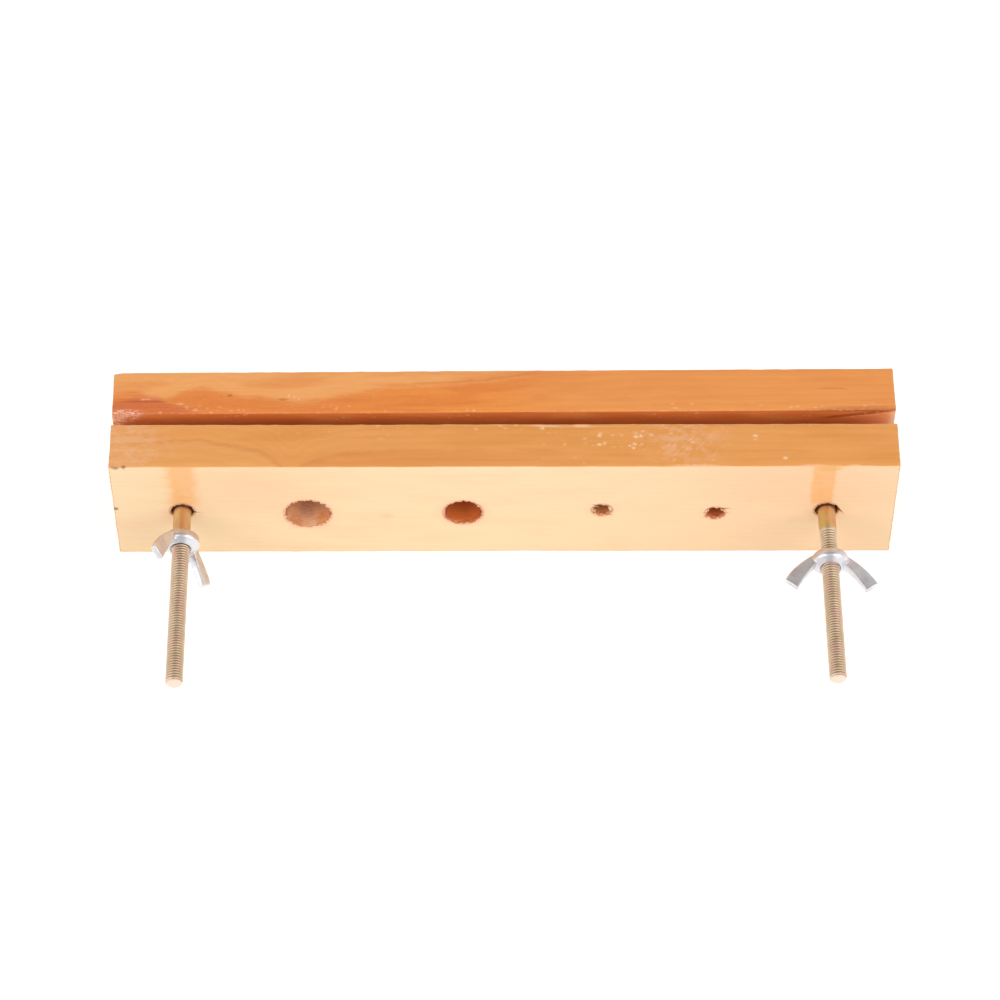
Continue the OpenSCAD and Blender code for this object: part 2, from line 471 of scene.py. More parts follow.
def threaded_rod(start, end, crest, root):
    """A right-handed thread of one pitch a turn round the Z axis, cut square at both ends."""
    flat = PITCH / 8
    flank = (PITCH - 3 * flat) / 2
    soft = 0.03
    line = outline_of([
        (root, 0), (root, 2 * flat), (crest - soft, 2 * flat + flank),
        (crest, 2 * flat + flank + flat / 2), (crest - soft, 3 * flat + flank), (root, PITCH)])
    turns = math.ceil(end - start) + 4
    screw = line.modifiers.new("Thread", "SCREW")
    screw.axis = "Z"
    screw.angle = 2 * math.pi
    screw.screw_offset = PITCH
    screw.iterations = turns
    screw.steps = THREAD_STEPS
    screw.render_steps = THREAD_STEPS
    screw.use_merge_vertices = True
    apply_all(line)
    move_to(line, Matrix.Translation((0, 0, math.floor(start) - 2)))
    tidy_mesh(line, 0.0005)
    with editing(line):
        bpy.ops.mesh.bisect(plane_co=(0, 0, start), plane_no=(0, 0, 1), use_fill=True, clear_inner=True)
        bpy.ops.mesh.select_all(action="SELECT")
        bpy.ops.mesh.bisect(plane_co=(0, 0, end), plane_no=(0, 0, 1), use_fill=True, clear_outer=True)
    tidy_mesh(line, 0.0005)
    return line


def carriage_bolt():
    """A bolt along +Z, seated at z = 0: domed head, square neck, plain shank and rolled thread."""
    rim = 0.7
    dome = HEAD_H - rim
    dome_r = (HEAD_R ** 2 + dome ** 2) / (2 * dome)
    lean = math.degrees(math.asin(HEAD_R / dome_r))
    crown = [(0, -HEAD_H)] + arc((0, dome_r - HEAD_H), dome_r, -90 + lean / 14, -90 + lean, 13)
    shank = turned(crown + [
        (HEAD_R + 0.02, -rim / 2), (HEAD_R - 0.15, -0.05), (HEAD_R - 0.4, 0),
        (SHANK_R, 0), (SHANK_R, PLAIN_LEN - 0.3), (CREST_R, PLAIN_LEN),
        (ROOT_R + 0.02, PLAIN_LEN + RUN_OUT), (ROOT_R - 0.3, PLAIN_LEN + RUN_OUT + 0.1),
        (0, PLAIN_LEN + RUN_OUT + 0.1)])
    envelope = turned([
        (0, 0), (SHANK_R + 1, 0), (SHANK_R + 1, BOLT_LEN - 2 * TIP_CHAMFER),
        (CREST_R + 0.25, BOLT_LEN - TIP_CHAMFER - 0.25), (CREST_R - TIP_CHAMFER, BOLT_LEN - 0.06),
        (CREST_R - TIP_CHAMFER - 0.35, BOLT_LEN), (0, BOLT_LEN - 0.1)])
    rod = threaded_rod(PLAIN_LEN - 0.6, BOLT_LEN + 0.5, CREST_R, ROOT_R)
    joinery(rod, envelope, "INTERSECT")
    neck = block((0, 0, NECK_LEN / 2 - 0.2), (NECK_W, NECK_W, NECK_LEN + 0.4))
    with editing(neck, "EDGE"):
        pick(neck, "edges", along(2, 1.0))
        bpy.ops.mesh.bevel(offset=0.3, segments=2, affect="EDGES")
    joinery(shank, neck, "UNION")
    joinery(shank, rod, "UNION")
    tidy_mesh(shank, 0.002)
    return shank


# Wing nuts

def wing_blank(bend=0.0):
    """One wing along +X: its flat outline is drawn out strip by strip, then given its thickness."""
    back_root = Vector((5.5, 0, 0.35))
    front_root = Vector((5.0, 0, 4.2))
    back_tip = Vector((WING_REACH, 0, WING_H - TIP_W * math.cos(WING_SLOPE)))
    front_tip = Vector((WING_REACH - TIP_W * math.sin(WING_SLOPE), 0, WING_H))
    middle = (back_root + front_root) / 2
    bent = Matrix.Rotation(-bend, 3, "Y")
    back_tip = middle + bent @ (back_tip - middle)
    front_tip = middle + bent @ (front_tip - middle)
    here = [back_root + Vector((-1.4, 0, 0.4)), front_root + Vector((-1.4, 0, -0.3))]
    line = outline_of([(point.x, point.z) for point in here])
    weights = line.vertex_groups.new(name="thickness")
    strips = 12
    with editing(line, "EDGE"):
        for i in range(strips + 1):
            share = i / strips
            there = [
                bowed(back_root, back_tip, BACK_BOW, share),
                bowed(front_root, front_tip, FRONT_DIP, share)]
            bpy.ops.mesh.extrude_edges_move(TRANSFORM_OT_translate={"value": there[0] - here[0]})
            old, new = here[1] - here[0], there[1] - there[0]
            turn = math.atan2(old.z, old.x) - math.atan2(new.z, new.x)
            size = new.length / old.length
            bpy.ops.transform.rotate(value=-turn, orient_axis="Y", center_override=there[0])
            bpy.ops.transform.resize(value=(size, size, size), center_override=there[0])
            here = there
    thickest_x = 4.5
    for vert in line.data.vertices:
        share = min(max((vert.co.x - thickest_x) / (back_tip.x - thickest_x), 0.0), 1.0)
        weight = TIP_T / ROOT_T + (1 - TIP_T / ROOT_T) * (1 - share) ** 2.5
        weights.add([vert.index], weight, "REPLACE")
    solid = line.modifiers.new("Thickness", "SOLIDIFY")
    solid.thickness = ROOT_T
    solid.offset = 0
    solid.vertex_group = "thickness"
    solid.use_even_offset = False
    apply_all(line)
    with editing(line, "EDGE"):
        bpy.ops.mesh.normals_make_consistent(inside=False)
        pick(line, "edges", lambda edge: edge.calc_face_angle(0) > 0.9)
        bpy.ops.mesh.bevel(offset=CAST_EDGE, segments=3, affect="EDGES")
    return line


def bowed(start, end, bow, share):
    """A point on a shallow curve that bows to the right of the line from start to end."""
    way = end - start
    side = Vector((way.z, 0, -way.x)).normalized()
    return start + way * share + side * (4 * bow * share * (1 - share))


def square_wing_nut(bend=0.0):
    """A cast wing nut seated at z = 0, its wings along X, with no bore yet. Its wing at -X may be bent."""
    boss = turned(
        [(0, 0), (BOSS_R - 0.75, 0)] + arc((BOSS_R - 0.75, 0.45), 0.45, -90, -12, 3)[1:]
        + [(BOSS_R - 0.12, 1.4), (BOSS_R, 2.3)] + arc((BOSS_R - 1.4, 2.4), 1.4, 5, 55, 6)
        + arc((3.85, BOSS_H - 0.42), 0.42, 45, 110, 4) + [(3.2, BOSS_H - 0.7), (0, BOSS_H - 0.7)])
    wing = wing_blank()
    other = move_to(wing_blank(bend), Matrix.Rotation(math.pi, 4, "Z"))
    joinery(boss, wing, "UNION")
    joinery(boss, other, "UNION")
    skin = boss.modifiers.new("Cast skin", "REMESH")
    skin.mode = "VOXEL"
    skin.voxel_size = CAST_GRAIN
    soften = boss.modifiers.new("Soften", "SMOOTH")
    soften.factor = 0.5
    soften.iterations = 6
    apply_all(boss)
    roughen(boss, 2.5, 0.1)
    return boss


def countersink():
    """The cone that opens a nut's bore at its seat, wide enough to pass over the thread's run-out."""
    past = 0.5
    widening = (SINK_R - ROOT_R) / SINK_DEPTH
    return turned([
        (0, -past), (SINK_R + past * widening, -past), (ROOT_R, SINK_DEPTH), (0, SINK_DEPTH)])


def placed_nut(nut, seat, turn):
    """Puts a nut on its bolt, with a countersink and a bore threaded in step with the bolt's thread."""
    joinery(nut, countersink(), "DIFFERENCE")
    move_to(nut, outward(seat.x, seat.y) @ Matrix.Rotation(turn, 4, "Z"))
    depth = HEAD_SEAT - seat.y
    tap = threaded_rod(depth - 2, depth + 8, CREST_R + NUT_THREAD_PLAY, ROOT_R + NUT_THREAD_PLAY)
    move_to(tap, outward(seat.x, HEAD_SEAT))
    joinery(nut, tap, "DIFFERENCE")
    return nut


# Shader helpers

class Value:
    """A number, vector or colour that varies over a surface. Arithmetic on it adds Math nodes."""

    def __init__(self, paint, socket):
        self.paint = paint
        self.socket = socket

    def __add__(self, other):
        return self.paint.maths("ADD", self, other)

    def __radd__(self, other):
        return self.paint.maths("ADD", other, self)

    def __sub__(self, other):
        return self.paint.maths("SUBTRACT", self, other)

    def __rsub__(self, other):
        return self.paint.maths("SUBTRACT", other, self)

    def __mul__(self, other):
        return self.paint.maths("MULTIPLY", self, other)

    def __rmul__(self, other):
        return self.paint.maths("MULTIPLY", other, self)

    def __truediv__(self, other):
        return self.paint.maths("DIVIDE", self, other)

    def __pow__(self, power):
        return self.paint.maths("POWER", self, power)

    def __abs__(self):
        return self.paint.maths("ABSOLUTE", self)


class Paint:
    """The nodes of a material or of the world, added one by one."""

    def __init__(self, owner):
        self.owner = owner
        owner.use_nodes = True
        self.tree = owner.node_tree
        self.tree.nodes.clear()

    def places(self):
        """Places on the object in millimetres."""
        return self.scaled(self.node("ShaderNodeTexCoord", out="Object"), 1 / MM)

    def node(self, kind, settings=None, values=None, out=0):
        """Adds a node: first its settings, then the values or links of its sockets."""
        new = self.tree.nodes.new(kind)
        for name, setting in (settings or {}).items():
            if name == "stops":
                set_stops(new.color_ramp, setting)
            else:
                setattr(new, name, setting)
        for name, value in (values or {}).items():
            if isinstance(value, Value):
                self.tree.links.new(value.socket, new.inputs[name])
            else:
                new.inputs[name].default_value = value
        return Value(self, new.outputs[out]) if new.outputs else None

    def maths(self, operation, *values):
        return self.node("ShaderNodeMath", {"operation": operation}, dict(enumerate(values)))

    def vectors(self, operation, first, second):
        return self.node("ShaderNodeVectorMath", {"operation": operation}, {0: first, 1: second})

    def scaled(self, vector, factor):
        return self.node("ShaderNodeVectorMath", {"operation": "SCALE"}, {0: vector, "Scale": factor})

    def split(self, vector):
        """The three parts of a vector."""
        parts = self.tree.nodes.new("ShaderNodeSeparateXYZ")
        self.tree.links.new(vector.socket, parts.inputs[0])
        return [Value(self, socket) for socket in parts.outputs]

    def rise(self, value, start, end):
        """0 up to start, 1 from end, and smooth between them. It falls where start is past end."""
        limits = {"Value": value, "From Min": start, "From Max": end}
        return self.node("ShaderNodeMapRange", {"interpolation_type": "SMOOTHSTEP"}, limits)

    def noise(self, place, sizes, shift=(0, 0, 0), detail=2.0, roughness=0.5):
        """Soft noise between 0 and 1, with lumps of the given sizes."""
        lumps = self.stretched(place, sizes, shift)
        values = {"Vector": lumps, "Scale": 1.0, "Detail": detail, "Roughness": roughness}
        return self.node("ShaderNodeTexNoise", None, values)

    def stretched(self, place, sizes, shift=(0, 0, 0)):
        """A place measured in lumps of the given sizes, so that noise on it has lumps that long."""
        moved = self.vectors("ADD", place, shift)
        return self.vectors("DIVIDE", moved, sizes)

    def mix(self, share, first, second):
        """The second colour over the first, by a share. Either may be a #rrggbb code."""
        settings = {"data_type": "RGBA", "blend_type": "MIX", "clamp_factor": True}
        first, second = [shade(side) if isinstance(side, str) else side for side in (first, second)]
        return self.node("ShaderNodeMix", settings, {0: share, 6: first, 7: second}, 2)

    def curve(self, value, low, high, stops):
        """A number read off a soft curve through (place, number) stops, with places from low to high."""
        share = self.node("ShaderNodeMapRange", None, {"Value": value, "From Min": low, "From Max": high})
        top = max(number for _, number in stops)
        bottom = min(number for _, number in stops)
        ramp = [
            ((place - low) / (high - low), grey((number - bottom) / (top - bottom)))
            for place, number in stops]
        level = self.node("ShaderNodeValToRGB", {"stops": ("CARDINAL", ramp)}, {"Fac": share})
        return level * (top - bottom) + bottom

    def warped(self, place, size, amount):
        """A place pushed about by noise, to make outlines on it irregular."""
        values = {"Vector": self.stretched(place, size), "Scale": 1.0}
        push = self.node("ShaderNodeTexNoise", None, values, "Color")
        push = self.vectors("SUBTRACT", push, (0.5, 0.5, 0.5))
        return self.vectors("ADD", place, self.scaled(push, 2 * amount))

    def toned(self, colour, wave):
        """A colour made lighter and paler, or darker and redder, by a small wave round 0."""
        factor = self.vectors("ADD", self.scaled((0.6, 1.0, 1.3), wave), (1.0, 1.0, 1.0))
        return self.vectors("MULTIPLY", colour, factor)

    def spot(self, place, centre, sizes, soft=0.4):
        """1 inside an egg of the given half sizes round a centre, with a soft edge."""
        away = self.vectors("DIVIDE", self.vectors("SUBTRACT", place, centre), sizes)
        reach = self.node("ShaderNodeVectorMath", {"operation": "LENGTH"}, {0: away}, "Value")
        return self.rise(reach, 1.0 + soft / 2, 1.0 - soft / 2)

    def most(self, *values):
        """The largest of several values."""
        total = values[0]
        for value in values[1:]:
            total = self.maths("MAXIMUM", total, value)
        return total

    def finish(self, colour, roughness, height=None, depth=0.0, **constants):
        """Feeds the surface: colour, roughness, bump and the constants of the shader's own sockets."""
        values = {"Base Color": colour, "Roughness": roughness}
        values.update({name.replace("_", " "): value for name, value in constants.items()})
        if height is not None:
            bump = {"Height": height, "Distance": depth, "Strength": 1.0}
            values["Normal"] = self.node("ShaderNodeBump", None, bump)
        shader = self.node("ShaderNodeBsdfPrincipled", None, values)
        self.node("ShaderNodeOutputMaterial", None, {"Surface": shader})
        return self.owner


def set_stops(ramp, setting):
    """Gives a colour ramp its interpolation and its (place, colour) stops."""
    interpolation, stops = setting
    ramp.interpolation = interpolation
    while len(ramp.elements) < len(stops):
        ramp.elements.new(1.0)
    for element, (place, colour) in zip(ramp.elements, stops):
        element.position = place
        element.color = colour


def grey(level):
    return (level, level, level, 1.0)


def shade(code):
    """A colour from its #rrggbb code."""
    channels = [int(code[i:i + 2], 16) / 255 for i in (1, 3, 5)]
    linear = [c / 12.92 if c <= 0.04045 else ((c + 0.055) / 1.055) ** 2.4 for c in channels]
    return (*linear, 1.0)


# Materials

def bar_place(paint, y, skew):
    """Places in a bar's own frame: X along it, Y through its thickness, Z up from its foot."""
    middle = Matrix.Rotation(skew, 3, "Z") @ Vector((0, y, 0))
    turn = {"Vector": paint.places(), "Location": -middle, "Rotation": (0, 0, skew)}
    return paint.node("ShaderNodeMapping", {"vector_type": "POINT"}, turn)


class Pine:
    """What both bars share: masks for their sides, the figure of the grain on top, rings and fibres."""

    def __init__(self, name, y, skew, figure):
        self.paint = paint = Paint(bpy.data.materials.new(name))
        self.place = bar_place(paint, y, skew)
        self.x, self.y, self.z = paint.split(self.place)
        half = JAW_T / 2
        self.top = paint.rise(self.z, JAW_H - 0.75, JAW_H - 0.3)
        self.foot = paint.rise(self.z, 0.75, 0.3)
        self.face = paint.rise(self.y, -half + 0.75, -half + 0.3)
        self.back = paint.rise(self.y, half - 0.75, half - 0.3)
        self.end = paint.rise(abs(self.x), JAW_LEN / 2 - 0.7, JAW_LEN / 2 - 0.3)
        wander = paint.noise(self.place, (8, 2.2, 3)) - 0.5
        flames = paint.noise(self.place, (2.6, 0.7, 3), (5, 9, 2), detail=3.0) - 0.5
        line = paint.curve(self.x, -133, 133, figure)
        self.off = self.y - line - wander * 1.8 - flames * 2.6
        self.rings()
        self.fibres()

    def rings(self):
        """Latewood: lines that follow the figure on top and run straight along the sides."""
        paint = self.paint
        drift = paint.noise(self.place, (60, 9, 9), detail=1.0) - 0.5
        depth = JAW_H - self.z
        count = (self.off * paint.rise(depth, 9, 2) + self.y * paint.rise(depth, 2, 9)) * 0.3 + depth * 0.42
        step = paint.maths("FRACT", count + drift * 1.2)
        self.late = paint.rise(step, 0.2, 0.88) * paint.rise(step, 1.0, 0.88)

    def fibres(self):
        """Long thin streaks along the bar, coarse and fine, and broad patches."""
        paint = self.paint
        self.streaks = paint.noise(self.place, (30, 1.1, 1.1), detail=2.0) - 0.5
        self.hairs = paint.noise(self.place, (9, 0.3, 0.3), detail=2.0, roughness=0.6) - 0.5
        self.patches = paint.noise(self.place, (26, 7, 7), (7, 3, 5), detail=2.0)
        self.fine = paint.noise(self.place, (1.5, 0.6, 0.6), detail=3.0, roughness=0.65)
        self.loose = paint.warped(self.place, (1.6, 0.8, 0.8), 0.55)

    def spots(self, marks, soft=0.8, place=None):
        """Spots on top of the bar, given as (x, y, half length, half width)."""
        place = place or self.loose
        return self.paint.most(*[
            self.paint.spot(place, (x, y, JAW_H), (long, wide, 1.5), soft) for x, y, long, wide in marks])

    def bore(self, x, z, radius):
        """1 on the wall of a hole."""
        return self.paint.spot(self.place, (x, 0, z), (radius + 0.75, 99, radius + 0.75), 0.08)

    def halo(self, x, z, radius, width):
        """A soft blush round the mouth of a hole."""
        return self.paint.spot(self.place, (x, 0, z), (radius + width, 99, radius + width / 2), 0.5)

    def sides(self, tops, face, inner, ends):
        """The colour of each side of the bar."""
        mix = self.paint.mix
        colour = mix(self.face, inner, face)
        colour = mix(self.top, colour, tops)
        return mix(self.end, colour, ends)

    def grained(self, colour):
        """Rings and fibres laid over a colour: plain on top, faint on the face, strong on the ends."""
        late = self.end * 0.3 + 0.045 - self.face * 0.03
        streak = 0.18 - self.face * 0.12
        hair = 0.13 - self.face * 0.05
        wave = self.streaks * streak + self.hairs * hair - (self.late - 0.3) * late
        return self.paint.toned(colour, wave)

    def relief(self):
        """Height of the grain in millimetres: raised latewood and fine fibres."""
        return self.late * 0.015 + self.hairs * 0.04 + self.streaks * 0.03


def flecks(paint, place, cell, size, share):
    """Scattered small chips: one at most in each cell, in a share of the cells."""
    spread = paint.vectors("DIVIDE", place, (cell * 1.5, cell, cell))
    values = {"Vector": spread, "Scale": 1.0, "Randomness": 0.9}
    reach = paint.node("ShaderNodeTexVoronoi", None, values, "Distance")
    luck = paint.split(paint.node("ShaderNodeTexVoronoi", None, values, "Color"))[0]
    return paint.rise(reach, size / cell, size / cell * 0.4) * paint.rise(luck, share, share - 0.05)


def pine_of_rear_jaw():
    """Orange aged pine, redder along the front of its left half."""
    bar = Pine("rear_jaw_pine", 0.0, 0.0, [
        (-133, -0.8), (-124, 0.2), (-120, -1.8), (-115, -3.0), (-109, 0.0), (-103, 1.9), (-96, 0.5),
        (-89, -1.7), (-82, -2.3), (-72, -3.9), (-65, -4.0), (-56, -1.4), (-48, 0.1), (-39, 1.9),
        (-27, 2.6), (-14, 3.1), (2, 5.1), (10, 6.6), (40, 8.0), (133, 9.0)])
    colour = bar.sides(rear_top(bar), rear_inner(bar), rear_back(bar), "#dba065")
    colour = bar.grained(colour)
    paint = bar.paint
    for x in (LEFT_X, RIGHT_X):
        colour = paint.mix(bar.bore(x, BOLT_Z, REAR_HOLE_R), colour, "#a55e35")
    colour, gloss = rear_marks(bar, colour)
    rough = 0.52 + bar.hairs * 0.15 - gloss * 0.22
    return paint.finish(colour, rough, bar.relief() - gloss * 0.01, MM)


def rear_top(bar):
    """Honey at the back, red-orange under the figure's line, and deep red in the left corner."""
    paint, x, y = bar.paint, bar.x, bar.y
    honey = paint.mix(paint.rise(x, -30, 40), "#eca25c", "#e79348")
    honey = paint.mix(paint.rise(bar.patches, 0.4, 0.65) * 0.6, honey, "#e38c45")
    red = paint.mix(paint.rise(x, -70, -20), "#df7d30", "#e6862e")
    red = paint.mix(paint.rise(bar.patches, 0.45, 0.6) * 0.5, red, "#d9722a")
    under = paint.rise(bar.off + bar.streaks * 3.0, 2.6, -2.6) * paint.rise(x, 40, -15)
    under = under * (paint.rise(bar.fine, 0.3, 0.6) * 0.2 + 0.75)
    colour = paint.mix(under, honey, red)
    gaps = paint.rise(bar.patches, 0.4, 0.5)
    rim = paint.rise(abs(bar.off - 0.8), 0.9, 0.1) * paint.rise(x, -84, -62) * paint.rise(x, 24, 2) * gaps
    colour = paint.mix(rim * 0.32, colour, "#b9602c")
    gold = paint.rise(y, -5.5, -8.0) * paint.rise(x, -46, -34) * paint.rise(x, 4, -6)
    colour = paint.mix(gold * paint.rise(bar.streaks, -0.1, 0.1) * 0.5, colour, "#e9963c")
    edge = paint.curve(x, -133, -95, [(-133, -3.4), (-131, -3.2), (-124, -1.5), (-117, -1.7), (-113, -4.8),
                                      (-106, -7.6), (-100, -9.5), (-95, -11.0)])
    deep = paint.rise(y - edge + bar.streaks * 7.0, 1.4, -1.8) * paint.rise(x, -96, -103)
    deep = deep * (paint.rise(bar.streaks, -0.05, 0.08) * 0.35 + 0.5)
    return paint.mix(deep, colour, "#c75e34")


def rear_inner(bar):
    """The face towards the other jaw: red-orange in the gap, pale where its two ends catch the light."""
    paint, x, z = bar.paint, bar.x, bar.z
    colour = paint.mix(paint.rise(bar.patches, 0.35, 0.65), "#cf6e33", "#d97d3e")
    wedge = (x - 106) * 0.165 + 44.6
    lit = paint.rise(wedge - z, -0.3, 0.5) * paint.rise(x, 112, 130)
    colour = paint.mix(lit, colour, "#e6915b")
    tip = paint.rise(wedge - z, -0.3, 0.5) * paint.rise(x, 129.5, 132.5)
    colour = paint.mix(tip * 0.9, colour, "#eebc96")
    # Darker along the split at the edge of the painted light.
    dark = paint.rise(abs(wedge - z + 0.7), 1.0, 0.3) * paint.rise(x, 104, 112) * paint.rise(x, 133, 126)
    colour = paint.mix(dark * 0.6, colour, "#883415")
    # Painted light on the crushed left end of the face.
    crushed = paint.spot(bar.loose, (-131.5, -JAW_T / 2, 46.0), (3.0, 2.6, 4.6), 0.9)
    return paint.mix(crushed * paint.rise(bar.fine, 0.44, 0.54), colour, "#ebae86")


def rear_back(bar):
    """The outer face, which the bolt heads bear on, and the foot."""
    paint = bar.paint
    colour = paint.mix(bar.patches, "#eec088", "#f0b67c")
    return paint.mix(bar.foot, colour, "#dfa062")


def rear_marks(bar, colour):
    """Chips and scuffs, darker pits and splits, a painted shadow along the right end of the front arris, and
    wear along the front arris.
    """
    paint = bar.paint
    half, top = JAW_T / 2, JAW_H
    darkened_marks = bar.spots((
        (-121.5, -3.7, 9.0, 0.3), (-92.6, -1.2, 0.9, 0.6), (-74.6, -3.1, 1.7, 0.5),
        (121, -7.7, 12, 0.3), (111, 0.3, 5, 0.2)), 0.9, bar.place)
    shadow = paint.spot(bar.place, (122, -half + 0.2, top - 0.2), (20, 0.7, 0.9), 0.9)
    # Darker in the pits and splits, and a painted shadow along the right end of the front arris.
    colour = paint.mix(paint.most(darkened_marks * 0.4, shadow * 0.55), colour, "#9a4216")
    scuffs = bar.spots((
        (-121, -2.8, 1.8, 0.4), (-115.9, -8.2, 0.7, 0.5), (-109.3, -4.9, 1.5, 0.35),
        (-106.5, -5.9, 1.6, 0.3), (-104.2, -7.3, 0.8, 0.6), (-99.8, -6.6, 0.5, 0.3),
        (-96, -6.3, 0.7, 0.3), (-89.6, -7.5, 0.4, 0.3), (-87.3, -8.9, 1.0, 0.4),
        (-72.7, -1.6, 0.35, 0.9), (-71, -2.2, 0.35, 0.9), (-69.4, -2.9, 0.4, 0.6),
        (-37, -8.2, 0.4, 0.4), (57.7, -7.8, 1.2, 0.4), (99, -7.2, 0.8, 0.4)))
    near = paint.most(*[
        paint.spot(bar.place, (spot_x, -7.8, top), (wide, 2.2, 5.0), 0.8)
        for spot_x, wide in (
            (-104, 16), (-52, 13), (-12, 11), (56, 7), (62, 5), (88, 5), (100, 8), (119, 9))])
    chips = flecks(paint, bar.loose, 1.4, 0.6, 0.3) * paint.rise(bar.fine, 0.36, 0.5) * near
    scuffs = paint.most(scuffs * paint.rise(bar.fine, 0.42, 0.54) * 0.8, chips * 0.7)
    colour = paint.mix(scuffs * 0.7, colour, "#f7bd94")
    arris = paint.rise(bar.y, -half + 1.0, -half + 0.4) * bar.top
    rubbed = arris * paint.rise(bar.fine, 0.5, 0.64)
    colour = paint.mix(rubbed * 0.35, colour, "#f3ae80")
    worn = paint.spot(bar.loose, (-128, -8.6, top - 0.5), (5.5, 1.6, 3.5), 0.9)
    worn = worn * paint.rise(bar.fine, 0.46, 0.54)
    colour = paint.mix(worn * 0.75, colour, "#f8c4b0")
    return colour, paint.most(scuffs, rubbed * 0.5)


def pine_of_front_jaw():
    """Honey-coloured aged pine on top and pale cream on the face that the nuts bear on. The face's paleness
    is partly the wood's own tone and partly painted light.
    """
    bar = Pine("front_jaw_pine", FRONT_Y, FRONT_SKEW, [
        (-133, 0.2), (-119, 1.2), (-110, 2.4), (-102, 2.2), (-94, 0.6), (-85, -1.2), (-81, -2.8),
        (-77, -5.8), (-73, -9.6), (-70.7, -10.6), (-68, -8.6), (-64, -6.0), (-56, -3.6), (-43, -2.3),
        (-27, -1.6), (20, -2.2), (60, -3.5), (133, -6.0)])
    paint = bar.paint
    colour = bar.sides(front_top(bar), front_face(bar), front_inner(bar), "#dfa86c")
    colour = bar.grained(colour)
    colour = front_holes(bar, colour)
    colour, gloss = front_marks(bar, colour)
    rough = 0.54 + bar.hairs * 0.15 - gloss * 0.2
    return paint.finish(colour, rough, bar.relief() - gloss * 0.01, MM)


def front_top(bar):
    """Honey, a little deeper inside the arc of the grain, with a soft brown line along the arc."""
    paint, x = bar.paint, bar.x
    colour = paint.mix(paint.rise(bar.patches, 0.35, 0.65), "#e4994f", "#de9345")
    arc_fade = paint.rise(x, -132, -112) * paint.rise(x, -20, -62)
    line = paint.rise(bar.off, 1.0, -0.3) * paint.rise(bar.off, -3.4, -0.4)
    colour = paint.mix(line * arc_fade * 0.38, colour, "#cc7d3c")
    inside = paint.rise(bar.off, 0.4, -1.6) * paint.rise(x, -71, -82)
    colour = paint.mix(inside * 0.5, colour, "#e6a25c")
    lower = paint.rise(bar.off, 0.8, -2.4) * paint.rise(x, -74, -68) * paint.rise(x, 60, -30)
    colour = paint.mix(lower * 0.55, colour, "#dc8a45")
    left = paint.rise(x, -112, -130)
    return paint.mix(left * 0.5, colour, "#e6a362")


def front_face(bar):
    """Cream, pinker near the bolts, with painted shadows of the bolts as warm bands above the bolt holes,
    and a few short dark fibres.
    """
    paint, x, z = bar.paint, bar.x, bar.z
    # The face's cream is partly the wood's own tone and partly painted light.
    colour = paint.mix(paint.rise(x, -20, 90), "#f9d9ac", "#f8d3a7")
    colour = paint.mix(paint.rise(bar.patches, 0.42, 0.7) * 0.55, colour, "#f9d0a4")
    high = paint.rise(z, 12, 34)
    pink = paint.most(
        paint.spot(bar.place, (-84, -9, 34), (18, 9, 24), 1.6),
        paint.spot(bar.place, (98, -9, 40), (28, 9, 22), 1.6))
    colour = paint.mix(pink * high * 0.5, colour, "#fac79c")
    glue = paint.rise(bar.patches, 0.5, 0.35) * paint.rise(x, -96, -112) * paint.rise(z, 20, 4)
    colour = paint.mix(glue * 0.35, colour, "#f4d091")
    # Painted shadow of each bolt: a warm band from its hole up to the top edge.
    colour = paint.mix(front_bolt_shadows(bar), colour, "#f9b26a")
    dashes = flecks(paint, bar.loose, 9.0, 2.4, 0.2) * paint.rise(bar.hairs, -0.02, 0.08)
    return paint.mix(dashes * 0.4, colour, "#d8a172")


def front_bolt_shadows(bar):
    """How strong the painted shadows of the two bolts are: warm bands above the bolt holes."""
    paint, x, z = bar.paint, bar.x, bar.z
    soft = paint.noise(bar.place, (5, 5, 3.5), detail=3.0) - 0.5
    left = paint.rise(abs(x + 108.6) + soft * 6.0, 7.0, 2.2)
    right = paint.rise(abs(x - 107.2) + soft * 2.5, 4.6, 3.1)
    bands = paint.most(left, right) * paint.rise(z, BOLT_Z + 1.5, BOLT_Z + 5)
    return bands * (soft * 0.7 + 0.72)


def front_inner(bar):
    """The face towards the rear jaw, and the foot."""
    paint = bar.paint
    colour = paint.mix(bar.patches, "#e29a5c", "#e6a66c")
    return paint.mix(bar.foot, colour, "#dfa062")


def front_holes(bar, colour):
    """The bores, each with its own tone, painted light on the foot of its wall and painted shade higher up,
    and a pink blush round their mouths.
    """
    paint = bar.paint
    wall = paint.noise(bar.place, (3.4, 4.0, 2.0), detail=2.0)
    chatter = paint.noise(bar.place, (3, 0.5, 3), detail=1.0)
    mouth = paint.rise(bar.y, -JAW_T / 2 - 0.2, -JAW_T / 2 + 0.3)
    fuzz = paint.rise(bar.fine, 0.45, 0.6) * paint.rise(bar.y, -JAW_T / 2 + 1.4, -JAW_T / 2 + 0.5)
    deep = paint.rise(bar.y, -JAW_T / 2 + 0.2, -JAW_T / 2 + 0.6) * paint.rise(bar.y, 0, -2)
    for x, z, radius, light, middle, dark, blush in hole_tones():
        torn = paint.spot(bar.place, (x, 0, z), (radius + 5.0, 99, radius + 2.5), 0.1) * deep
        colour = paint.mix(torn, colour, "#a8602f")
        colour = paint.mix(bar.halo(x, z, radius, 2.4) * bar.face * blush, colour, "#f6b898")
        # Each bore's lining: its own tone, with painted shade in the darker wall tones and painted light on
        # its foot.
        lit_and_shaded_lining = paint.mix(paint.rise(wall, 0.4, 0.56), dark, middle)
        foot = paint.rise(bar.z + wall * 3.0, z - radius * 0.25 + 1.5, z - radius * 0.75 + 1.5)
        lit_and_shaded_lining = paint.mix(foot, lit_and_shaded_lining, light)
        lit_and_shaded_lining = paint.toned(lit_and_shaded_lining, (chatter - 0.5) * 0.4)
        lit_and_shaded_lining = paint.mix(fuzz * 0.6, lit_and_shaded_lining, "#f4c8a2")
        colour = paint.mix(bar.bore(x, z, radius) * mouth, colour, lit_and_shaded_lining)
    return large_hole_patches(bar, colour)


